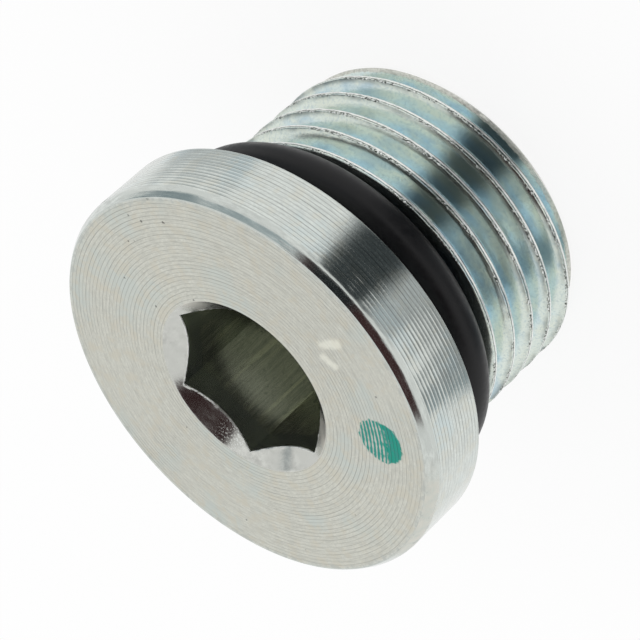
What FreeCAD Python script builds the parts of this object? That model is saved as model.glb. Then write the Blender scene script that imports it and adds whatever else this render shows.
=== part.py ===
"""Threaded plug: a turned steel screw plug with a G 1/2 thread, a flange head, a broached hex
socket and a rubber ring in the undercut below the flange.

Millimetres. The plug stands on its thread end at z = 0, its axis is Z and the flange face is on top.
"""
import FreeCAD
import Part
import Sketcher
import os

# Driving dimensions: name, value and what it measures.
DIMENSIONS = [
    ("overall_length", 18.9, "thread end to flange face"),
    ("flange_diameter", 26.4, "outside of the flange"),
    ("flange_thickness", 4.6, "flange face to underside"),
    ("face_chamfer_width", 0.34, "radial width of the chamfer round the flange face"),
    ("face_chamfer_depth", 0.52, "axial depth of that chamfer"),
    ("thread_diameter", 20.955, "G 1/2 major diameter"),
    ("thread_pitch", 1.8143, "14 threads to the inch"),
    ("flank_angle", 27.5, "half of the 55 degree Whitworth form"),
    ("groove_start", -1.736, "height of the thread groove's middle where its helix starts, at +Y"),
    ("groove_overcut", 0.15, "how far the groove's profile stands outside the major diameter"),
    ("end_chamfer", 0.96, "45 degree chamfer at the thread end"),
    ("undercut_width", 4.6, "flange underside to the top of the thread"),
    ("undercut_diameter", 17.96, "floor of the undercut"),
    ("undercut_lean", 30, "lean of the undercut's wall on the thread side"),
    ("socket_flats", 9.525, "across the flats of the hex socket, 3/8 inch"),
    ("socket_depth", 8, "flange face to the end of the hex"),
    ("pilot_diameter", 9.3, "hole drilled before broaching"),
    ("pilot_depth", 9, "flange face to the end of the hole's wall"),
    ("point_angle", 59, "half of the drill point"),
    ("countersink_diameter", 11.76, "countersink at the flange face"),
    ("countersink_angle", 50, "half of the countersink"),
    ("ring_section", 2.6, "thickness of the rubber ring"),
    ("ring_play", 0.02, "clearance between the ring and the undercut's floor"),
    ("ring_gap", 0.15, "clearance between the ring and the undercut's leaning wall"),
]

STUD = "dims.thread_diameter / 2"
FLOOR = "dims.undercut_diameter / 2"
UNDERSIDE = "(dims.overall_length - dims.flange_thickness)"
THREAD_TOP = f"({UNDERSIDE} - dims.undercut_width)"
WALL_FOOT = f"({THREAD_TOP} + ({STUD} - {FLOOR}) * tan(dims.undercut_lean))"

START, END, CENTRE = range(1, 4)  # points of a line or a circle in a sketch
ACROSS_AXIS, UP_AXIS = -1, -2  # a sketch's own axes
ORIGIN = (-1, 1)  # a sketch's origin, as geometry and point


def make_sheet(doc):
    """Hold the driving dimensions in a sheet named dims, one aliased cell each."""
    sheet = doc.addObject("Spreadsheet::Sheet", "dims")
    for row, (name, value, meaning) in enumerate(DIMENSIONS, start=1):
        sheet.set(f"A{row}", meaning)
        sheet.set(f"B{row}", str(value))
        sheet.setAlias(f"B{row}", name)
    doc.recompute()


def new_sketch(body, name, plane):
    """Add an empty sketch on one of the body's origin planes."""
    sketch = body.newObject("Sketcher::SketchObject", name)
    support = next(item for item in body.Origin.OriginFeatures if item.Role == plane)
    sketch.AttachmentSupport = (support, "")
    sketch.MapMode = "FlatFace"
    return sketch


def at(sketch, across, up):
    """The point where two formulas put it now."""
    return FreeCAD.Vector(float(sketch.evalExpression(across)), float(sketch.evalExpression(up)), 0)


def constrain(sketch, kind, *places, formula):
    """Add a dimension and bind it to a formula."""
    value = float(sketch.evalExpression(formula))
    index = sketch.addConstraint(Sketcher.Constraint(kind, *places, value))
    sketch.setExpression(f"Constraints[{index}]", formula)


def hold(sketch, geometry, point, across, up):
    """Hold a point at two formulas, where "0" puts it on the axis."""
    if across == "0":
        sketch.addConstraint(Sketcher.Constraint("PointOnObject", geometry, point, UP_AXIS))
    else:
        constrain(sketch, "DistanceX", *ORIGIN, geometry, point, formula=across)
    if up == "0":
        sketch.addConstraint(Sketcher.Constraint("PointOnObject", geometry, point, ACROSS_AXIS))
    else:
        constrain(sketch, "DistanceY", *ORIGIN, geometry, point, formula=up)


def draw_outline(sketch, corners):
    """Draw a closed outline of straight lines through corners given as formulas."""
    points = [at(sketch, *corner) for corner in corners]
    for start, end in zip(points, points[1:] + points[:1]):
        sketch.addGeometry(Part.LineSegment(start, end))
    for line in range(len(corners)):
        following = (line + 1) % len(corners)
        sketch.addConstraint(Sketcher.Constraint("Coincident", line, END, following, START))
    for line, (across, up) in enumerate(corners):
        hold(sketch, line, START, across, up)


def turn_blank(body):
    """Turn the flange, the undercut and the stud in one revolved section."""
    flange = "dims.flange_diameter / 2"
    section = new_sketch(body, "blank_section", "XZ_Plane")
    draw_outline(section, [
        ("0", "0"),
        (f"{STUD} - dims.end_chamfer", "0"),
        (STUD, "dims.end_chamfer"),
        (STUD, THREAD_TOP),
        (FLOOR, WALL_FOOT),
        (FLOOR, UNDERSIDE),
        (flange, UNDERSIDE),
        (flange, "dims.overall_length - dims.face_chamfer_depth"),
        (f"{flange} - dims.face_chamfer_width", "dims.overall_length"),
        ("0", "dims.overall_length"),
    ])
    blank = body.newObject("PartDesign::Revolution", "blank")
    blank.Profile = section
    blank.ReferenceAxis = (section, ["V_Axis"])
    blank.Angle = 360


def drill_socket(body):
    """Countersink the face and drill the pilot hole with its pointed end."""
    rim = "dims.countersink_diameter / 2"
    wall = "dims.pilot_diameter / 2"
    top = "dims.overall_length"
    section = new_sketch(body, "pilot_section", "XZ_Plane")
    draw_outline(section, [
        ("0", top),
        (rim, top),
        (wall, f"{top} - ({rim} - {wall}) / tan(dims.countersink_angle)"),
        (wall, f"{top} - dims.pilot_depth"),
        ("0", f"{top} - dims.pilot_depth - {wall} / tan(dims.point_angle)"),
    ])
    pilot = body.newObject("PartDesign::Groove", "pilot")
    pilot.Profile = section
    pilot.ReferenceAxis = (section, ["V_Axis"])
    pilot.Angle = 360


def broach_socket(body):
    """Broach the hex with one corner on the X axis."""
    sketch = new_sketch(body, "hex_section", "XY_Plane")
    sketch.setExpression("AttachmentOffset.Base.z", "dims.overall_length")
    circumradius = "dims.socket_flats / 2 / cos(30)"
    corners = [at(sketch, f"{circumradius} * cos({turn})", f"{circumradius} * sin({turn})")
               for turn in range(0, 360, 60)]
    for start, end in zip(corners, corners[1:] + corners[:1]):
        sketch.addGeometry(Part.LineSegment(start, end))
    circle = sketch.addGeometry(Part.Circle(FreeCAD.Vector(), FreeCAD.Vector(0, 0, 1), corners[0].x), True)
    sketch.addConstraint(Sketcher.Constraint("Coincident", circle, CENTRE, *ORIGIN))
    constrain(sketch, "Radius", circle, formula=circumradius)
    for side in range(6):
        sketch.addConstraint(Sketcher.Constraint("Coincident", side, END, (side + 1) % 6, START))
        sketch.addConstraint(Sketcher.Constraint("PointOnObject", side, START, circle))
    for side in range(1, 6):
        sketch.addConstraint(Sketcher.Constraint("Equal", 0, side))
    sketch.addConstraint(Sketcher.Constraint("PointOnObject", 0, START, ACROSS_AXIS))
    hexagon = body.newObject("PartDesign::Pocket", "hexagon")
    hexagon.Profile = sketch
    hexagon.setExpression("Length", "dims.socket_depth")


def cut_thread(body):
    """Cut the Whitworth groove along a right-hand helix that runs out past both ends.

    Its crest and root flats are a sixth of the pitch wide.
    """
    root = f"({STUD} - 0.640327 * dims.thread_pitch)"
    outside = f"({STUD} + dims.groove_overcut)"
    root_half = "dims.thread_pitch / 12"
    mouth_half = f"({root_half} + ({outside} - {root}) * tan(dims.flank_angle))"
    section = new_sketch(body, "groove_section", "YZ_Plane")
    draw_outline(section, [
        (root, f"dims.groove_start - {root_half}"),
        (outside, f"dims.groove_start - {mouth_half}"),
        (outside, f"dims.groove_start + {mouth_half}"),
        (root, f"dims.groove_start + {root_half}"),
    ])
    thread = body.newObject("PartDesign::SubtractiveHelix", "thread")
    thread.Profile = section
    thread.ReferenceAxis = (section, ["V_Axis"])
    thread.Mode = "pitch-turns-angle"
    thread.setExpression("Pitch", "dims.thread_pitch")
    thread.setExpression("Turns", f"ceil(({WALL_FOOT} - dims.groove_start) / dims.thread_pitch)")
    thread.HasBeenEdited = True


def make_plug(doc):
    """The one-piece steel plug."""
    body = doc.addObject("PartDesign::Body", "plug_body")
    body.Label = "plug_body"
    turn_blank(body)
    drill_socket(body)
    broach_socket(body)
    cut_thread(body)
    return body


def make_ring(doc):
    """The rubber ring, which sits round the undercut's floor, beside its leaning wall."""
    section = "dims.ring_section / 2"
    middle = f"({FLOOR} + dims.ring_play + {section})"
    from_wall = f"({section} + dims.ring_gap + ({STUD} - {middle}) * sin(dims.undercut_lean))"
    ring = doc.addObject("Part::Torus", "o_ring")
    ring.Label = "o_ring"
    ring.setExpression("Radius1", middle)
    ring.setExpression("Radius2", section)
    ring.setExpression("Placement.Base.z", f"{THREAD_TOP} + {from_wall} / cos(dims.undercut_lean)")
    return ring


def check(doc, pieces):
    """Stop where a feature failed or a piece has no sound solid."""
    for item in doc.Objects:
        if "Invalid" in item.State or "Error" in item.State:
            raise RuntimeError(f"{item.Label} failed: {item.State}")
    for piece in pieces:
        if piece.Shape.isNull() or not piece.Shape.isValid() or len(piece.Shape.Solids) != 1:
            raise RuntimeError(f"{piece.Label} is not one sound solid")


doc = FreeCAD.newDocument("threaded_plug")
make_sheet(doc)
pieces = [make_plug(doc), make_ring(doc)]
doc.recompute()
check(doc, pieces)
os.makedirs("parts", exist_ok=True)
for piece in pieces:
    piece.Shape.exportStep(f"parts/{piece.Label}.step")
    print(piece.Label, "volume", round(piece.Shape.Volume, 1))
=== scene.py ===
"""Threaded plug: zinc-plated turned steel with a G 1/2 thread and a rubber ring, on a pale floor.

Lengths are millimetres, and become metres where a mesh or an object is made. The plug stands on its
thread end at z = 0, its axis is Z, and azimuths count from +X towards +Y.
"""

import math

import bmesh
import bpy
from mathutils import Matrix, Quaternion, Vector, noise


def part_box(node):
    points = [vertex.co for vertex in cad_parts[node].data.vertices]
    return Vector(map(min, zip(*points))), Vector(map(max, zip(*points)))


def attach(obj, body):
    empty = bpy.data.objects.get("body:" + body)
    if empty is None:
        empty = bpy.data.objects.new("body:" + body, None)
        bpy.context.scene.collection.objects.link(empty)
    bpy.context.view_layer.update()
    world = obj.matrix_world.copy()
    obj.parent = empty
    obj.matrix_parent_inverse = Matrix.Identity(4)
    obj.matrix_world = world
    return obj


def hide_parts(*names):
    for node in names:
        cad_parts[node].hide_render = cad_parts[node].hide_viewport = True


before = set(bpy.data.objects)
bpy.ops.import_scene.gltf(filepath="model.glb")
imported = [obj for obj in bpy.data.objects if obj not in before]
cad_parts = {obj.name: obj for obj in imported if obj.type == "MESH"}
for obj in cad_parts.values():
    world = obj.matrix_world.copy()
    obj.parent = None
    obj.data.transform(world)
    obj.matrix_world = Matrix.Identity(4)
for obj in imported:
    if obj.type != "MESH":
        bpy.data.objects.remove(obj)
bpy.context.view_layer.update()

MM = 0.001
STEPS = 288  # steps round the axis, so that a hex corner falls on a step
RING_STEPS = 48  # steps round the ring's section
ARC_STEPS = 4  # steps in a rounded edge
CREASE = math.radians(35)  # a sharper turn between faces is shaded as an edge
MERGED = 0.0004  # points nearer than this become one

# From the frame: the plug's and the ring's reach.
plug_low, plug_high = (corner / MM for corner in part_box("plug_body"))
ring_low, ring_high = (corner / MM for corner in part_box("o_ring"))
TOP = plug_high.z
FLANGE_R = min(plug_high.x, plug_high.y, -plug_low.x, -plug_low.y)
RING_SECTION_R = (ring_high.z - ring_low.z) / 2
RING_Z = (ring_high.z + ring_low.z) / 2
RING_R = min(ring_high.x, ring_high.y, -ring_low.x, -ring_low.y) - RING_SECTION_R

# The rest of the plug's shape.
UNDERSIDE = TOP - 4.6
CHAMFER_WIDTH, CHAMFER_DEPTH = 0.34, 0.52
THREAD_R = 20.955 / 2
PITCH = 1.8143
THREAD_DEPTH = 0.640327 * PITCH
GROOVE_START = -1.736  # height of the groove's middle at +Y
END_CHAMFER = 0.96
THREAD_TOP = UNDERSIDE - 4.6
UNDERCUT_R = 17.96 / 2
UNDERCUT_LEAN = math.radians(30)
WALL_FOOT = THREAD_TOP + (THREAD_R - UNDERCUT_R) * math.tan(UNDERCUT_LEAN)
HEX_FLAT = 9.525 / 2
HEX_FLOOR = TOP - 8
PILOT_R = 9.3 / 2
PILOT_FOOT = TOP - 9
PILOT_TIP = PILOT_FOOT - PILOT_R / math.tan(math.radians(59))
COUNTERSINK_R = 11.76 / 2
COUNTERSINK_HALF = math.radians(50)
# The broached edge of the hex, as lines of (rise over the countersink, growth, burr).
HEX_LIP = ((-0.07, 0, 0), (-0.006, 0.014, 0.04), (0.045, 0.054, 0.02), (0.076, 0.09, 0), (0.118, 0.14, 0))
LIP_FOOT = -0.2  # rise of the line below them, down to which the walls are plain
MOUTH_ROUNDING, FACE_ROUNDING, RIM_ROUNDING = 0.06, 0.1, 0.85
BACK_ROUNDING, FLOOR_ROUNDING = 0.12, 0.2
ROOT_ROUNDING, CREST_ROUNDING = 0.16, 0.13
MARGIN = 0.08  # from the countersink's edge to a line just inside it
END_SHARE = 0.97  # of the end face's radius, where a line just inside its edge lies
CREST_WEAR, CREST_BAND = 0.035, 0.09  # depth of the wear on the crests, and of the band that is worn
EDGE_WEAR = 0.04  # how strongly the chamfer's two edges are drawn in, here and there

# The plating, with places on the plug as (x, y, radius).
ZINC = (0.64, 0.645, 0.58)
ZINC_COOL = (0.67, 0.71, 0.675)
# The pale colour of the painted glints.
GLINT_COLOUR = (0.75, 0.77, 0.74)
WORN = ((-5.2, -11.0, 3.0), (5.5, 9.5, 3.5), (-3.5, 10.0, 4.0))  # on the flange face
RUBBED = ((-12.4, -3.0, 4.2), (10.4, 8.0, 3.0))  # on the flange's edges
DULLED = ((5.1, -2.4, 1.2), (-5.3, -2.0, 1.2))  # in the countersink
GLINTED = ((-1.9, 5.1, 1.2),)  # painted glints: pale specks in the countersink
GLINTED_ALL = ((0, 0, 9),)  # painted glints: pale specks all round the hex
BROACH_REFLECTED_DARK = 2.1  # how far below the flange face the socket's walls carry a painted dark reflection

# Paint and marks on the flange face.
DOT_CENTRE, DOT_RADIUS = (-7.7, -6.07), 1.5
DOT_THICK, DOT_THIN = (0.0, 0.27, 0.2), (0.015, 0.24, 0.2)
DOT_WHOLE = (9.7, 10.3)  # from the axis, over this stretch the dot turns from stripes to whole paint
SMUDGES = (((-1.65, -8.55), (-2.25, -9.75)), ((-2.25, -7.9), (-2.95, -8.0)))  # as (start, end)
SMUDGE_RADIUS, SMUDGE_PALE = 0.28, (0.80, 0.80, 0.70)
PITS = ((9.50, -5.94, 0.10), (10.41, -2.08, 0.09), (9.25, 0.83, 0.12), (10.52, -4.44, 0.07),
        (6.84, 0.56, 0.08), (11.12, -6.47, 0.22), (11.5, -6.2, 0.12), (12.3, -4.0, 0.1))
PIT_DARK = (0.06, 0.06, 0.055)
BRINK = (12.5, 12.8)  # from the axis, over this stretch the face's border turns pale


class Skin:
    """Gathers strips of points into one mesh, with a finish for each strip."""

    def __init__(self):
        self.points, self.quads, self.finishes = [], [], []

    def strip(self, finish, *rows):
        """Join each row of points to the next."""
        width = len(rows[0])
        for line, row in enumerate(rows):
            if line:
                for column in range(width - 1):
                    corner = len(self.points) - width + column
                    self.quads.append((corner, corner + 1, corner + width + 1, corner + width))
                    self.finishes.append(finish)
            self.points.extend(row)

    def make(self, name, materials):
        """Merge the strips' shared edges and make the object, smooth up to the crease angle."""
        names = list(materials)
        mesh = bpy.data.meshes.new(name)
        mesh.from_pydata([Vector(point) * MM for point in self.points], [], self.quads)
        mesh.polygons.foreach_set("material_index", [names.index(finish) for finish in self.finishes])
        for material in materials.values():
            mesh.materials.append(material)
        shell = bmesh.new()
        shell.from_mesh(mesh)
        bmesh.ops.remove_doubles(shell, verts=shell.verts, dist=MERGED * MM)
        bmesh.ops.dissolve_degenerate(shell, edges=shell.edges, dist=MERGED * MM)
        bmesh.ops.recalc_face_normals(shell, faces=shell.faces)
        shell.to_mesh(mesh)
        shell.free()
        mesh.shade_smooth()
        mesh.set_sharp_from_angle(angle=CREASE)
        thing = bpy.data.objects.new(name, mesh)
        bpy.context.collection.objects.link(thing)
        return thing


def turned(r, z, uneven=0.0):
    """A full circle of points, its first repeated as its last, drawn in here and there where uneven."""
    points = []
    for step in range(STEPS + 1):
        turn = 2 * math.pi * step / STEPS
        across = Vector((math.cos(turn), math.sin(turn), 0))
        reach = r - uneven * abs(noise.noise(across * 10) + noise.noise(across * 25) * 0.6)
        points.append((across.x * reach, across.y * reach, z))
    return points


def hexed(height, grown=0.0, burr=0.0):
    """A full turn of points on the hex, at a height that depends on the distance from the axis.

    The hex is grown outwards, and pushed unevenly inwards again by up to the burr.
    """
    points = []
    for step in range(STEPS + 1):
        turn = 2 * math.pi * step / STEPS
        r = HEX_FLAT / math.cos((turn + 1e-9) % (math.pi / 3) - math.pi / 6)
        across = Vector((math.cos(turn), math.sin(turn), 0))
        reach = r + grown - burr * max(0, 0.3 + noise.noise(across * 14))
        points.append((across.x * reach, across.y * reach, height(r)))
    return points


def eased(corners):
    """The points of each (r, z, radius) corner of an open outline: an arc, or the corner itself."""
    arcs = []
    for place, (r, z, radius) in enumerate(corners):
        here = Vector((r, z))
        if not radius:
            arcs.append([here])
            continue
        back = (Vector(corners[place - 1][:2]) - here).normalized()
        on = (Vector(corners[place + 1][:2]) - here).normalized()
        half = back.angle(on) / 2
        middle = here + (back + on).normalized() * radius / math.sin(half)
        start = here + back * radius / math.tan(half) - middle
        sweep = start.angle_signed(here + on * radius / math.tan(half) - middle)
        turns = [sweep * step / ARC_STEPS for step in range(ARC_STEPS + 1)]
        arcs.append([middle + Vector((
            start.x * math.cos(turn) + start.y * math.sin(turn),
            start.y * math.cos(turn) - start.x * math.sin(turn),
        )) for turn in turns])
    return arcs


def span(start, end, margin=0.05):
    """A straight stretch's ends, and a point just inside each, which keep the shading between flat."""
    share = margin / (end - start).length
    return [start, start.lerp(end, share), end.lerp(start, share), end]


def groove_profile():
    """Half of the thread's profile, as (distance from the groove's middle, radius) points."""
    root = THREAD_R - THREAD_DEPTH
    arcs = eased([
        (0, root, 0),
        (PITCH / 12, root, ROOT_ROUNDING),
        (PITCH * 5 / 12, THREAD_R, CREST_ROUNDING),
        (PITCH / 2, THREAD_R, 0),
    ])
    points = [point for arc in arcs for point in arc]
    flank_from, flank_to = arcs[1][-1], arcs[2][0]
    flank = [flank_from.lerp(flank_to, share) for share in (0.25, 0.5, 0.75)]
    return sorted(points + flank, key=lambda point: point.x)


def envelope(z):
    """The turned stud's radius, which the thread is cut into."""
    if z < END_CHAMFER:
        return THREAD_R - END_CHAMFER + z
    if z > THREAD_TOP:
        return max(UNDERCUT_R, THREAD_R - (z - THREAD_TOP) / math.tan(UNDERCUT_LEAN))
    return THREAD_R


def thread_rows():
    """The thread from the end face to the undercut's floor, in rows that follow its helix."""
    profile = groove_profile()
    mirrored = [(-point.x, point.y) for point in reversed(profile[1:])]
    whole = mirrored + [(point.x, point.y) for point in profile[:-1]]
    turns = range(-1, math.ceil((WALL_FOOT - GROOVE_START) / PITCH) + 2)
    return [[thread_point(turn, across, r, step, profile) for step in range(STEPS + 1)]
            for turn in turns for across, r in whole]


def thread_point(turn, across, r, step, profile):
    """One point of the thread, kept between the end face and the undercut's floor."""
    azimuth = 2 * math.pi * step / STEPS
    middle = GROOVE_START + PITCH * (turn + (azimuth - math.pi / 2) / (2 * math.pi))
    z = min(max(middle + across, 0), WALL_FOOT)
    if z != middle + across:
        off = abs((z - middle + PITCH / 2) % PITCH - PITCH / 2)
        after = next(place for place, point in enumerate(profile) if point.x >= off - 1e-9)
        before = max(after - 1, 0)
        gap = profile[after].x - profile[before].x
        r = profile[before].lerp(profile[after], (off - profile[before].x) / gap if gap else 0).y
    place = Vector((math.cos(azimuth), math.sin(azimuth), z / THREAD_R)) * THREAD_R
    crest = max(0, (r - THREAD_R + CREST_BAND) / CREST_BAND)
    rough = noise.noise(place * 1.9) * 0.6 + noise.noise(place * 4.7) * 0.4
    r = min(r - crest * CREST_WEAR * max(0, 0.35 + rough), envelope(z))
    return (r * math.cos(azimuth), r * math.sin(azimuth), z)


def make_plug(materials):
    """The steel body: hex socket, flange, undercut, thread and end face in one closed skin."""
    sink = math.tan(COUNTERSINK_HALF)

    def hex_edge(rise, grown=0.0, burr=0.0):
        """The line where the hex meets the countersink, raised and grown."""
        return hexed(lambda r: TOP - (COUNTERSINK_R - r) / sink + rise, grown, burr)

    # The first point only gives the mouth's rounding its direction.
    mouth, face_edge, rim_edge, back_edge, floor_corner, foot = eased([
        (COUNTERSINK_R - 1, TOP - 1 / sink, 0),
        (COUNTERSINK_R, TOP, MOUTH_ROUNDING),
        (FLANGE_R - CHAMFER_WIDTH, TOP, FACE_ROUNDING),
        (FLANGE_R, TOP - CHAMFER_DEPTH, RIM_ROUNDING),
        (FLANGE_R, UNDERSIDE, BACK_ROUNDING),
        (UNDERCUT_R, UNDERSIDE, FLOOR_ROUNDING),
        (UNDERCUT_R, WALL_FOOT, 0),
    ])[1:]
    outlines = {
        "face": span(mouth[-1], face_edge[0]),
        "chamfer": face_edge + span(face_edge[-1], rim_edge[0], 0.03)[1:3] + rim_edge,
        "rim": span(rim_edge[-1], back_edge[0]),
        "undercut": (back_edge + span(back_edge[-1], floor_corner[0])[1:3] + floor_corner
                     + span(floor_corner[-1], foot[0])[1:3] + foot),
    }
    skin = Skin()
    skin.strip("bore", turned(0, PILOT_TIP), turned(PILOT_R, PILOT_FOOT), turned(PILOT_R, HEX_FLOOR),
               hexed(lambda r: HEX_FLOOR))
    skin.strip("socket", hexed(lambda r: HEX_FLOOR), hex_edge(LIP_FOOT), hex_edge(*HEX_LIP[0]))
    skin.strip("lip", *(hex_edge(*line) for line in HEX_LIP[:3]))
    skin.strip("countersink", *(hex_edge(*line) for line in HEX_LIP[2:]),
               turned(COUNTERSINK_R - MARGIN, TOP - MARGIN / sink), *(turned(*point) for point in mouth))
    for finish, points in outlines.items():
        wear = [EDGE_WEAR if point in face_edge[:2] + rim_edge[-2:] else 0.0 for point in points]
        skin.strip(finish, *(turned(*point, uneven) for point, uneven in zip(points, wear)))
    rows = thread_rows()
    skin.strip("thread", *rows)
    skin.strip("end", turned(0, 0), [(x * END_SHARE, y * END_SHARE, 0) for x, y, z in rows[0]], rows[0])
    return skin.make("plug", materials)


def make_ring(materials):
    """The rubber ring round the undercut."""
    skin = Skin()
    section = [2 * math.pi * step / RING_STEPS for step in range(RING_STEPS + 1)]
    skin.strip("rubber", *(turned(RING_R + RING_SECTION_R * math.cos(turn),
                                  RING_Z + RING_SECTION_R * math.sin(turn)) for turn in section))
    return skin.make("rubber_ring", materials)


def shaded(colour, *factors):
    """A colour times one factor, or times one for each of red, green and blue."""
    factors = factors if len(factors) == 3 else factors * 3
    return tuple(min(1, value * factor) for value, factor in zip(colour, factors))


class Finish:
    """One node material on a Principled shader. A method that adds a node returns its output."""

    def __init__(self, name, **values):
        self.material = bpy.data.materials.new(name)
        self.material.use_nodes = True
        self.tree = self.material.node_tree
        self.shader = self.tree.nodes["Principled BSDF"]
        self.put(self.shader, **values)

    def feed(self, socket, value):
        """Link another node's output to an input, or set the input's value."""
        if isinstance(value, bpy.types.NodeSocket):
            self.tree.links.new(value, socket)
        else:
            socket.default_value = value

    def put(self, node, **values):
        """Feed a node's inputs, named with _ for a space."""
        for name, value in values.items():
            self.feed(node.inputs[name.replace("_", " ")], value)

    def add(self, kind, output=0, settings=None, **values):
        """Add a node of any kind."""
        node = self.tree.nodes.new("ShaderNode" + kind)
        for name, value in (settings or {}).items():
            setattr(node, name, value)
        self.put(node, **values)
        return node.outputs[output]

    def math(self, operation, *values):
        """Reckon with numbers."""
        node = self.tree.nodes.new("ShaderNodeMath")
        node.operation = operation
        for socket, value in zip(node.inputs, values):
            self.feed(socket, value)
        return node.outputs[0]

    def plus(self, first, second):
        return self.math("ADD", first, second)

    def minus(self, first, second):
        return self.math("SUBTRACT", first, second)

    def times(self, first, second):
        return self.math("MULTIPLY", first, second)

    def most(self, first, second):
        return self.math("MAXIMUM", first, second)

    def vector(self, operation, first, second=(0, 0, 0), output=0):
        """Reckon with vectors. Output 1 is the result of an operation that gives a number."""
        node = self.tree.nodes.new("ShaderNodeVectorMath")
        node.operation = operation
        for socket, value in zip(node.inputs, (first, second)):
            self.feed(socket, value)
        return node.outputs[output]

    def mix(self, factor, first, second):
        """Blend two colours, which are the node's inputs 6 and 7."""
        node = self.tree.nodes.new("ShaderNodeMix")
        node.data_type = "RGBA"
        self.feed(node.inputs[0], factor)
        for socket, value in zip(node.inputs[6:8], (first, second)):
            self.feed(socket, (*value, 1) if isinstance(value, tuple) else value)
        return node.outputs[2]

    def show(self, factor, first, second):
        """Blend two shaders and show them."""
        blend = self.tree.nodes.new("ShaderNodeMixShader")
        for socket, value in zip(blend.inputs, (factor, first, second)):
            self.tree.links.new(value, socket)
        self.tree.links.new(blend.outputs[0], self.tree.nodes["Material Output"].inputs["Surface"])

    def step(self, value, low, high, start=0.0, end=1.0):
        """A smooth step from start to end as the value goes from low to high."""
        return self.add("MapRange", settings={"interpolation_type": "SMOOTHSTEP"}, Value=value,
                        From_Min=low, From_Max=high, To_Min=start, To_Max=end)

    def place(self, *stretch):
        """The place on the object in millimetres, stretched along X, Y and Z."""
        return self.vector("MULTIPLY", self.add("TexCoord", output=3), [value / MM for value in stretch])

    def radius(self):
        """The distance from the axis in millimetres."""
        return self.vector("LENGTH", self.place(1, 1, 0), output=1)

    def height(self):
        """The height in millimetres."""
        return self.add("SeparateXYZ", output=2, Vector=self.place(1, 1, 1))

    def azimuth(self):
        """The azimuth in turns, from -0.5 to 0.5."""
        place = self.place(1, 1, 1)
        x = self.add("SeparateXYZ", output=0, Vector=place)
        y = self.add("SeparateXYZ", output=1, Vector=place)
        return self.math("DIVIDE", self.math("ARCTAN2", y, x), 2 * math.pi)

    def grain(self, place, scale, detail=2.0, roughness=0.5):
        """Noise from 0 to 1 over a place."""
        return self.add("TexNoise", Vector=place, Scale=scale, Detail=detail, Roughness=roughness)

    def lines(self, along, scale):
        """Noise that changes along one value only."""
        return self.add("TexNoise", settings={"noise_dimensions": "1D"}, W=along, Scale=scale, Detail=1.0)

    def unworn(self, places, patches):
        """1 away from each worn (x, y, radius) place, falling to 0.2 inside it, with a patchy edge."""
        kept = 1.0
        for x, y, radius in places:
            away = self.vector("DISTANCE", self.place(1, 1, 0), (x, y, 0), output=1)
            away = self.plus(away, self.times(patches, 3.0))
            kept = self.times(self.step(away, radius, radius + 2.5, 0.2, 1.0), kept)
        return kept

    def bump(self, height, depth, normal=None):
        """A bump of a depth in millimetres."""
        values = {"Height": height, "Distance": depth * MM, "Strength": 1.0}
        if normal is not None:
            values["Normal"] = normal
        return self.add("Bump", **values)


def turned_steel(name, colour, roughness, along, pitch, depth, groove_shade, even, anisotropic, worn=()):
    """Steel turned in a lathe: scalloped grooves along the radius or the height, with painted shade at their
    edges.

    A faint groove, or a patch of them, keeps the even share of the depth. They fade further inside each
    worn (x, y, radius) place. The finish holds its wave, cut and colour, for paint to go over; the cut is
    painted shade.
    """
    finish = Finish(name, Metallic=1.0, Specular_IOR_Level=0.2,
                    Anisotropic=anisotropic, Anisotropic_Rotation=0.25)
    tangent = finish.add("Tangent", settings={"direction_type": "RADIAL", "axis": "Z"})
    place = finish.place(1, 1, 1)
    across = finish.radius() if along == "radius" else finish.height()
    turns = finish.plus(finish.math("DIVIDE", across, pitch), finish.azimuth())
    finish.wave = finish.math("PINGPONG", turns, 0.5)
    uneven = finish.lines(across, 1.1 / pitch)
    patches = finish.grain(place, 0.28, 3.0)
    speckle = finish.grain(place, 7.0, 3.0, 0.7)
    mottle = finish.grain(place, 1.1, 4.0, 0.6)
    kept = finish.times(finish.step(patches, 0.36, 0.6, even, 1.0),
                        finish.step(finish.lines(across, 0.6 / pitch), 0.35, 0.6, even, 1.0))
    kept = finish.times(kept, finish.unworn(worn, patches))
    scallop = finish.math("POWER", finish.minus(1.0, finish.times(finish.wave, 2.0)), 2.0)
    edge = finish.step(finish.plus(finish.wave, finish.times(uneven, 0.12)), 0.06, 0.19, 1.0, 0.0)
    # Painted shade: each groove's edges are darkened in the colour.
    finish.cut = finish.times(edge, finish.times(kept, groove_shade))
    round_axis = finish.vector("MULTIPLY", finish.vector("NORMALIZE", finish.place(1, 1, 0)), (14, 14, 14))
    by_groove = finish.add("CombineXYZ", Z=finish.times(across, 9.0))
    dashes = finish.grain(finish.vector("ADD", round_axis, by_groove), 1.0, 3.0, 0.7)
    tone = finish.mix(finish.step(speckle, 0.3, 0.7), shaded(colour, 0.92), shaded(colour, 1.06))
    tone = finish.mix(finish.step(dashes, 0.34, 0.6, 0.6, 0.0), tone, shaded(colour, 0.74))
    tone = finish.mix(finish.step(patches, 0.5, 0.68, 0.0, 0.8), tone, shaded(colour, 0.88, 0.95, 1.0))
    tone = finish.mix(finish.step(mottle, 0.48, 0.66, 0.0, 0.7), tone, shaded(colour, 0.95, 0.91, 0.86))
    finish.colour = finish.mix(finish.cut, tone, shaded(colour, 0.3))
    relief = finish.times(kept, finish.plus(scallop, finish.times(uneven, 0.7)))
    grooved = finish.bump(relief, depth, finish.bump(speckle, 0.003))
    rough = finish.step(finish.plus(uneven, speckle), 0.7, 1.3, roughness * 0.8, roughness * 1.2)
    finish.put(finish.shader, Base_Color=finish.colour, Roughness=rough, Normal=grooved, Tangent=tangent)
    return finish


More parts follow.
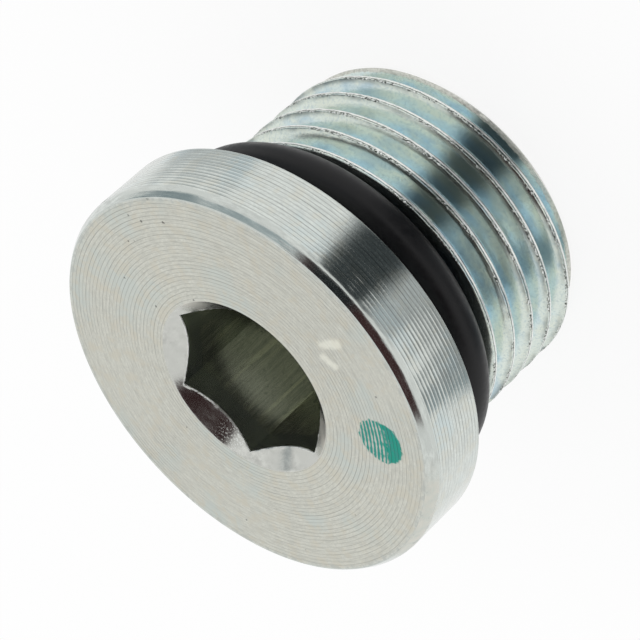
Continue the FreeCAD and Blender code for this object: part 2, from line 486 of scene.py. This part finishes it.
def plain_steel(name, colour, roughness, streak, depth=0.01, worn=(), glinted=()):
    """Plated steel with streaks: the noise is stretched by the streak's three factors.

    Each worn (x, y, radius) place is rubbed dull and spotted, and each place given for glints has pale
    specks, which are painted glints.
    """
    finish = Finish(name)
    place = finish.place(1, 1, 1)
    streaks = finish.grain(finish.place(*streak), 1.0, 4.0, 0.6)
    clouds = finish.grain(place, 0.5, 2.0)
    spots = finish.grain(place, 1.5, 4.0, 0.7)
    sound = finish.unworn(worn, clouds)
    dull = finish.times(finish.minus(1.0, sound), 0.3)
    tone = finish.mix(finish.step(streaks, 0.3, 0.7), shaded(colour, 0.72), colour)
    tone = finish.mix(finish.step(clouds, 0.35, 0.65), tone, shaded(colour, 0.85))
    warm, grey, dark = ((1.0, 0.92, 0.86), (0.85, 0.85, 0.82), (0.55, 0.52, 0.5))
    spotted = finish.mix(finish.step(spots, 0.3, 0.7), shaded(colour, *warm), shaded(colour, *grey))
    spotted = finish.mix(finish.step(spots, 0.6, 0.7), spotted, shaded(colour, *dark))
    fine = finish.plus(finish.grain(place, 9.0, 2.0, 0.7), finish.times(clouds, 0.5))
    # Painted glints: pale, partly non-metallic specks.
    glint_specks = finish.times(finish.step(fine, 0.79, 0.84, 0.0, 1.25),
                          finish.minus(1.0, finish.unworn(glinted, clouds)))
    rough = finish.plus(finish.step(streaks, 0.2, 0.8, roughness * 0.8, roughness * 1.25), dull)
    relief = finish.plus(streaks, finish.times(dull, spots))
    finish.put(finish.shader, Base_Color=finish.mix(glint_specks, finish.mix(sound, spotted, tone), GLINT_COLOUR),
               Metallic=finish.minus(finish.minus(1.0, dull), glint_specks), Roughness=rough,
               Normal=finish.bump(relief, depth))
    return finish


def broached_steel():
    """The socket's walls, with streaks along the broach's travel and a painted dark reflection below the
    mouth.
    """
    finish = Finish("zinc_socket", Metallic=0.95)
    fine = finish.grain(finish.place(9, 9, 0.35), 1.0, 3.0, 0.6)
    broad = finish.grain(finish.place(1.6, 1.6, 0.08), 1.0, 3.0, 0.6)
    speckle = finish.grain(finish.place(1, 1, 1), 5.0, 4.0, 0.75)
    tone = finish.mix(finish.step(fine, 0.3, 0.7), (0.43, 0.455, 0.39), (0.61, 0.63, 0.54))
    tone = finish.mix(finish.step(broad, 0.5, 0.62, 0.0, 0.7), tone, (0.80, 0.82, 0.65))
    tone = finish.mix(finish.step(speckle, 0.36, 0.46, 0.55, 0.0), tone, (0.20, 0.22, 0.18))
    # Painted dark reflection: the walls are darker from the mouth down to a toothed line.
    toothed = finish.plus(finish.height(), finish.times(fine, 0.9))
    reflected_dark = finish.step(toothed, TOP - BROACH_REFLECTED_DARK + 0.35, TOP - BROACH_REFLECTED_DARK + 0.5)
    finish.put(finish.shader, Base_Color=finish.mix(reflected_dark, tone, (0.42, 0.45, 0.41)),
               Roughness=finish.step(fine, 0.2, 0.8, 0.12, 0.18), Normal=finish.bump(fine, 0.0015))
    return finish


def threaded_steel():
    """The thread's plating, pale by the crests and blue in the roots, with crests torn on the head's side."""
    finish = Finish("zinc_thread")
    turns = finish.minus(finish.math("DIVIDE", finish.height(), PITCH), finish.azimuth())
    pitches = finish.math("FRACT", finish.plus(turns, 0.25 - GROOVE_START / PITCH))
    off = finish.minus(pitches, 0.5)  # in pitches from the crest's middle, and above 0 on the head's side

    def lengthwise(along, up, detail, roughness):
        """Noise stretched along the thread: its scales per millimetre and per turn."""
        by_turn = finish.add("CombineXYZ", Z=finish.times(turns, up))
        place = finish.vector("ADD", finish.place(along, along, 0), by_turn)
        return finish.grain(place, 1.0, detail, roughness)

    clouds = lengthwise(0.28, 2.2, 3.0, 0.6)
    haze = lengthwise(0.5, 5.0, 3.0, 0.6)
    torn = lengthwise(3.2, 20.0, 4.0, 0.75)
    crumbs = lengthwise(7.0, 24.0, 2.0, 0.6)
    grain = finish.grain(finish.place(1, 1, 1), 6.0, 3.0, 0.65)
    wander = finish.minus(lengthwise(1.1, 0.3, 5.0, 0.7), 0.5)

    # The plating between the crests.
    rooted = finish.step(finish.plus(finish.math("ABSOLUTE", off), finish.times(clouds, 0.5)), 0.42, 0.62)
    tone = finish.mix(rooted, (0.72, 0.79, 0.73), (0.60, 0.77, 0.83))
    tone = finish.mix(finish.step(haze, 0.42, 0.66, 0.0, 0.75), tone, (0.72, 0.77, 0.68))
    tone = finish.mix(finish.step(clouds, 0.5, 0.68, 0.0, 0.85), tone, (0.47, 0.60, 0.66))
    tone = finish.mix(finish.step(grain, 0.3, 0.55, 0.4, 0.0), tone, (0.36, 0.48, 0.54))

    # From the thread's end towards the head: a painted highlight line, a black seam, a scraped band with pale
    # specks that are painted glints, and a painted shade.
    ragged = finish.plus(off, finish.times(wander, 0.045))
    crest_highlight = finish.step(finish.math("ABSOLUTE", finish.plus(ragged, 0.035)), 0.026, 0.042, 1.0, 0.0)
    from_seam = finish.plus(finish.math("ABSOLUTE", finish.minus(ragged, 0.02)), finish.times(torn, 0.05))
    seam = finish.step(from_seam, 0.03, 0.042, 1.0, 0.0)
    from_band = finish.plus(finish.math("ABSOLUTE", finish.minus(ragged, 0.05)), finish.times(torn, 0.09))
    scraped = finish.times(finish.step(from_band, 0.085, 0.105, 1.0, 0.0),
                           finish.step(lengthwise(0.7, 2.0, 2.0, 0.5), 0.44, 0.58, 0.12, 1.0))
    black = finish.most(seam, finish.times(scraped, finish.step(crumbs, 0.42, 0.5, 1.0, 0.0)))
    glint_specks = finish.times(scraped, finish.step(crumbs, 0.56, 0.6))
    shade = finish.times(finish.step(ragged, 0.07, 0.09), finish.step(ragged, 0.09, 0.19, 1.0, 0.0))
    shade = finish.times(shade, finish.step(clouds, 0.4, 0.6, 0.1, 0.7))
    tone = finish.mix(shade, tone, (0.16, 0.17, 0.15))
    tone = finish.mix(finish.times(scraped, 0.6), tone, (0.58, 0.60, 0.56))
    # The painted highlight's colour.
    line = finish.mix(finish.step(torn, 0.36, 0.5), (0.60, 0.63, 0.62), (0.90, 0.92, 0.89))
    colour = finish.mix(crest_highlight, tone, line)
    colour = finish.mix(black, colour, (0.03, 0.035, 0.03))
    colour = finish.mix(glint_specks, colour, (0.93, 0.95, 0.93))

    # The end chamfer's ragged, pale cone.
    cone = finish.minus(finish.radius(), finish.height())
    cone = finish.plus(cone, finish.times(finish.minus(torn, 0.5), 0.5))
    ending = finish.step(cone, THREAD_R - END_CHAMFER - 0.42, THREAD_R - END_CHAMFER - 0.3)
    low = finish.step(finish.height(), END_CHAMFER, END_CHAMFER + 0.5, 1.0, 0.0)
    ending = finish.times(ending, low)
    chalky = finish.mix(finish.step(grain, 0.35, 0.6), (0.52, 0.53, 0.48), (0.74, 0.74, 0.68))
    colour = finish.mix(ending, colour, chalky)

    # The painted highlight, the painted glints and the chalky end are partly non-metallic.
    dull = finish.most(finish.times(crest_highlight, 0.4), finish.times(glint_specks, 0.6))
    dull = finish.most(finish.times(ending, 0.5), dull)
    crumbled = finish.mix(finish.most(black, glint_specks), (0.5, 0.5, 0.5), crumbs)
    waves = finish.bump(haze, 0.012, finish.bump(grain, 0.002))
    finish.put(finish.shader, Base_Color=colour, Metallic=finish.minus(1.0, dull),
               Roughness=finish.step(crest_highlight, 0, 1, 0.2, 0.3), Normal=finish.bump(crumbled, 0.05, waves))
    return finish


def rubber():
    """Smooth black rubber."""
    finish = Finish("black_rubber", Specular_IOR_Level=0.25)
    grain = finish.grain(finish.place(1, 1, 1), 3.0, 4.0)
    finish.put(finish.shader, Base_Color=finish.mix(grain, (0.004, 0.004, 0.005), (0.010, 0.010, 0.011)),
               Roughness=finish.step(grain, 0.2, 0.8, 0.3, 0.45), Normal=finish.bump(grain, 0.004))
    return finish


def smudged(finish, spot, wander):
    """Where the pale smudges are: strokes with round ends and soft, wandering edges."""
    smudge = 0.0
    for start, end in SMUDGES:
        start, end = Vector(start), Vector(end)
        along = (end - start).normalized()
        from_middle = finish.vector("SUBTRACT", spot, (*(start + end) / 2, 0))
        lengthwise = finish.math("ABSOLUTE", finish.vector("DOT_PRODUCT", from_middle, (*along, 0), output=1))
        beyond = finish.most(finish.minus(lengthwise, (end - start).length / 2), 0.0)
        sideways = finish.vector("DOT_PRODUCT", from_middle, (-along.y, along.x, 0), output=1)
        off = finish.math("SQRT", finish.plus(finish.times(beyond, beyond), finish.times(sideways, sideways)))
        stroke = finish.step(finish.plus(off, wander), SMUDGE_RADIUS - 0.2, SMUDGE_RADIUS + 0.16, 0.6, 0.0)
        smudge = finish.most(stroke, smudge)
    return smudge


def pitted(finish, spot, wander):
    """Where the face is pitted: specks scattered by chance, and the PITS."""
    speck = finish.step(finish.add("TexVoronoi", Vector=spot, Scale=0.8), 0.025, 0.075, 1.0, 0.0)
    chance = finish.add("TexVoronoi", output=1, Vector=spot, Scale=0.8)
    pit = finish.times(speck, finish.step(chance, 0.6, 0.62, 0.0, 0.7))
    for x, y, radius in PITS:
        away = finish.plus(finish.vector("DISTANCE", spot, (x, y, 0), output=1), wander)
        pit = finish.most(finish.step(away, radius * 0.4, radius, 0.75, 0.0), pit)
    return pit


def paint_face(finish):
    """Add the green paint dot, two pale smudges, pits, specks and a pale border to the turned face."""
    spot = finish.place(1, 1, 0)
    grain = finish.grain(finish.place(1, 1, 1), 2.4, 3.0)
    wander = finish.times(finish.minus(grain, 0.5), 0.5)
    away = finish.plus(finish.vector("DISTANCE", spot, (*DOT_CENTRE, 0), output=1), wander)
    inside = finish.step(away, DOT_RADIUS - 0.08, DOT_RADIUS + 0.06, 1.0, 0.0)
    whole = finish.step(finish.plus(finish.radius(), finish.times(wander, 3.0)), *DOT_WHOLE)
    held = finish.most(whole, finish.step(finish.plus(finish.wave, wander), 0.12, 0.24))
    dot = finish.times(inside, held)
    smudge = smudged(finish, spot, wander)
    brink = finish.step(finish.plus(finish.radius(), finish.times(wander, 2.0)), *BRINK, 0.0, 0.6)
    border = finish.mix(finish.step(grain, 0.4, 0.6), ZINC_COOL, shaded(ZINC_COOL, 0.7))
    colour = finish.mix(brink, finish.colour, border)
    colour = finish.mix(pitted(finish, spot, wander), colour, PIT_DARK)
    colour = finish.mix(smudge, colour, SMUDGE_PALE)
    green = finish.mix(finish.times(whole, finish.step(grain, 0.35, 0.55)), DOT_THIN, DOT_THICK)
    # The grooves' painted shade darkens the paint too.
    green = finish.mix(finish.times(finish.cut, 1.7), green, shaded(DOT_THICK, 0.25))
    finish.put(finish.shader, Base_Color=finish.mix(dot, colour, green),
               Metallic=finish.minus(1.0, finish.most(dot, smudge)))


face = turned_steel("zinc_face", ZINC, 0.38, "radius", pitch=0.253, depth=0.013, groove_shade=0.6, even=0.65,
                    anisotropic=0.4, worn=WORN)
paint_face(face)
finishes = {
    "face": face,
    "chamfer": plain_steel("zinc_chamfer", ZINC_COOL, 0.15, (1.2, 1.2, 6), depth=0.008, worn=RUBBED),
    "rim": turned_steel("zinc_rim", ZINC_COOL, 0.17, "height", pitch=0.26, depth=0.0105, groove_shade=0.85,
                        even=0.85, anisotropic=0.3, worn=RUBBED),
    "undercut": plain_steel("zinc_undercut", ZINC_COOL, 0.3, (0.6, 0.6, 7)),
    "thread": threaded_steel(),
    "end": turned_steel("zinc_end", ZINC, 0.35, "radius", pitch=0.3, depth=0.012, groove_shade=0.4, even=0.6,
                        anisotropic=0.4),
    "countersink": plain_steel("zinc_countersink", (0.66, 0.67, 0.63), 0.14, (1.5, 1.5, 3), depth=0.006,
                               worn=DULLED, glinted=GLINTED),
    "lip": plain_steel("zinc_lip", (0.8, 0.81, 0.78), 0.35, (4, 4, 4), depth=0.02, glinted=GLINTED_ALL),
    "socket": broached_steel(),
    "bore": plain_steel("zinc_bore", (0.33, 0.34, 0.29), 0.24, (1, 1, 5)),
}
plug = make_plug({part: finish.material for part, finish in finishes.items()})
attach(plug, "root")
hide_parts("plug_body")
ring = make_ring({"rubber": rubber().material})
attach(ring, "root")
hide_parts("o_ring")

# Where the photo was taken from, in the plug's own frame.
FRAME_PIXELS = 640
FOCAL_PIXELS = 3744
SENSOR = 36
VIEW_AZIMUTH = math.radians(267)
VIEW_ELEVATION = math.radians(34.69)
VIEW_ROLL = math.radians(-132.78)
FACE_CENTRE_PIXEL = (243.4, 387.5)
FACE_CENTRE_DEPTH = 212.9  # along the camera's own axis


def make_camera():
    """Place the camera so that the flange face's centre falls on its pixel."""
    back = Vector((math.cos(VIEW_AZIMUTH) * math.cos(VIEW_ELEVATION),
                   math.sin(VIEW_AZIMUTH) * math.cos(VIEW_ELEVATION), math.sin(VIEW_ELEVATION)))
    turn = (-back).to_track_quat("-Z", "Y") @ Quaternion((0, 0, 1), VIEW_ROLL)
    right, down = ((pixel - FRAME_PIXELS / 2) / FOCAL_PIXELS * FACE_CENTRE_DEPTH
                   for pixel in FACE_CENTRE_PIXEL)
    data = bpy.data.cameras.new("camera")
    data.sensor_width = SENSOR
    data.lens = FOCAL_PIXELS / FRAME_PIXELS * SENSOR
    data.clip_start = 0.01
    camera = bpy.data.objects.new("camera", data)
    camera.rotation_mode = "QUATERNION"
    camera.rotation_quaternion = turn
    camera.location = (Vector((0, 0, TOP)) - turn @ Vector((right, -down, -FACE_CENTRE_DEPTH))) * MM
    bpy.context.collection.objects.link(camera)
    bpy.context.scene.camera = camera


FLOOR_HALF = 1500  # half of its side
FLOOR_WHITE = 0.85  # how much of the floor is plain white to camera and metal, beside its own shading


def make_floor():
    """A pale floor that camera and metal see as white, and that keeps the plug's shadow."""
    mesh = bpy.data.meshes.new("floor")
    corners = [Vector((x, y, 0)) * FLOOR_HALF * MM for x, y in ((-1, -1), (1, -1), (1, 1), (-1, 1))]
    mesh.from_pydata(corners, [], [(0, 1, 2, 3)])
    floor = bpy.data.objects.new("floor", mesh)
    bpy.context.collection.objects.link(floor)
    finish = Finish("pale_floor", Base_Color=(0.92, 0.92, 0.92, 1), Roughness=0.9, Specular_IOR_Level=0.1)
    white = finish.add("Emission", Color=(1, 1, 1, 1), Strength=1.0)
    camera_ray, glossy_ray, transmission_ray = (finish.add("LightPath", output=ray) for ray in (0, 3, 6))
    seen = finish.most(finish.most(camera_ray, glossy_ray), transmission_ray)
    finish.show(finish.times(seen, FLOOR_WHITE), finish.shader.outputs[0], white)
    mesh.materials.append(finish.material)


# Dark studio flags round the plug, which only glossy surfaces see: (azimuths, elevations, shade, tint).
# An elevation below 0 is where a flag on the floor is seen from the flange's height.
COOL, PLAIN, WARM = (0.78, 0.93, 1.0), (0.94, 0.98, 1.0), (1.0, 0.52, 0.53)
FLAGS = (
    ((236, 291), (-70, -6), 0.55, PLAIN),
    ((196, 226), (-68, -18), 0.4, COOL),
    ((204, 248), (-50, -20), 0.36, PLAIN),
    ((330, 385), (-50, -20), 0.65, PLAIN),
    ((252, 288), (-80, -1), 0.055, COOL),
    ((192, 300), (13, 58), 0.063, WARM),
    ((186, 325), (48, 80), 0.043, WARM),
    ((255, 292), (13, 62), 0.03, COOL),
    ((345, 395), (3, 40), 0.42, COOL),
    ((292, 354), (16, 36), 0.5, COOL),
)
FLAG_LIFT = 0.05  # from each flag on the floor to the next, which lies on top of it
FLAG_DISTANCE = 260  # to the dome; each flag on it stands 1 mm nearer than the one before
FLAG_SEEN_FROM = 6  # from the axis to where a flag on the floor is seen from
FLAG_EDGE = 9  # degrees over which a flag fades in from each side


def flag_point(azimuth, elevation, order):
    """A point on the dome round the plug, or by the floor for an elevation below 0.

    A flag of a higher order hides the ones behind it.
    """
    turn, up = math.radians(azimuth), math.radians(elevation)
    if elevation < 0:
        reach = UNDERSIDE / math.tan(-up) + FLAG_SEEN_FROM
        return Vector((math.cos(turn) * reach, math.sin(turn) * reach, FLAG_LIFT * order)) * MM
    out = Vector((math.cos(turn) * math.cos(up), math.sin(turn) * math.cos(up), math.sin(up)))
    return out * (FLAG_DISTANCE - order) * MM


def make_flag(name, order, azimuths, elevations, shade, tint):
    """A dark patch of the dome or the floor, soft at its edges."""
    columns, rows = 24, 16
    points = [flag_point(azimuths[0] + (azimuths[1] - azimuths[0]) * column / columns,
                         elevations[0] + (elevations[1] - elevations[0]) * row / rows, order)
              for row in range(rows + 1) for column in range(columns + 1)]
    corners = [row * (columns + 1) + column for row in range(rows) for column in range(columns)]
    quads = [(corner, corner + 1, corner + columns + 2, corner + columns + 1) for corner in corners]
    mesh = bpy.data.meshes.new(name)
    mesh.from_pydata(points, [], quads)
    spread = mesh.uv_layers.new(name="spread")
    for loop in mesh.loops:
        row, column = divmod(loop.vertex_index, columns + 1)
        spread.data[loop.index].uv = (column / columns * (azimuths[1] - azimuths[0]),
                                      row / rows * (elevations[1] - elevations[0]))
    flag = bpy.data.objects.new(name, mesh)
    flag.visible_camera = flag.visible_diffuse = flag.visible_shadow = flag.visible_transmission = False
    bpy.context.collection.objects.link(flag)
    finish = Finish(name)
    place = finish.add("UVMap", settings={"uv_map": "spread"})
    edge = 1.0
    for axis, (low, high) in enumerate((azimuths, elevations)):
        inside = finish.add("SeparateXYZ", output=axis, Vector=place)
        nearest = finish.math("MINIMUM", inside, finish.minus(high - low, inside))
        edge = finish.times(finish.step(nearest, 0.0, FLAG_EDGE), edge)
    dark = finish.add("Emission", Color=(*tint, 1), Strength=shade)
    finish.show(edge, finish.add("BsdfTransparent"), dark)
    mesh.materials.append(finish.material)


def make_lamp(name, azimuth, elevation, distance, side, power):
    """A large soft lamp aimed at the plug, which the world's own white stands in for in reflections."""
    data = bpy.data.lights.new(name, "AREA")
    data.shape = "SQUARE"
    data.size = side * MM
    data.energy = power
    turn, up = math.radians(azimuth), math.radians(elevation)
    back = Vector((math.cos(turn) * math.cos(up), math.sin(turn) * math.cos(up), math.sin(up)))
    lamp = bpy.data.objects.new(name, data)
    lamp.rotation_mode = "QUATERNION"
    lamp.rotation_quaternion = (-back).to_track_quat("-Z", "Y")
    lamp.location = back * distance * MM
    lamp.visible_glossy = False
    bpy.context.collection.objects.link(lamp)


def make_world():
    """A plain world, nearly white."""
    world = bpy.data.worlds.new("studio")
    world.use_nodes = True
    background = world.node_tree.nodes["Background"]
    background.inputs["Color"].default_value = (1, 1, 1, 1)
    background.inputs["Strength"].default_value = 0.95
    bpy.context.scene.world = world


make_camera()
make_floor()
for order, flag in enumerate(FLAGS, start=1):
    make_flag(f"flag_{order}", order, *flag)
make_lamp("softbox", azimuth=130, elevation=60, distance=450, side=400, power=0.2)
make_world()
bpy.context.scene.view_settings.view_transform = "Standard"
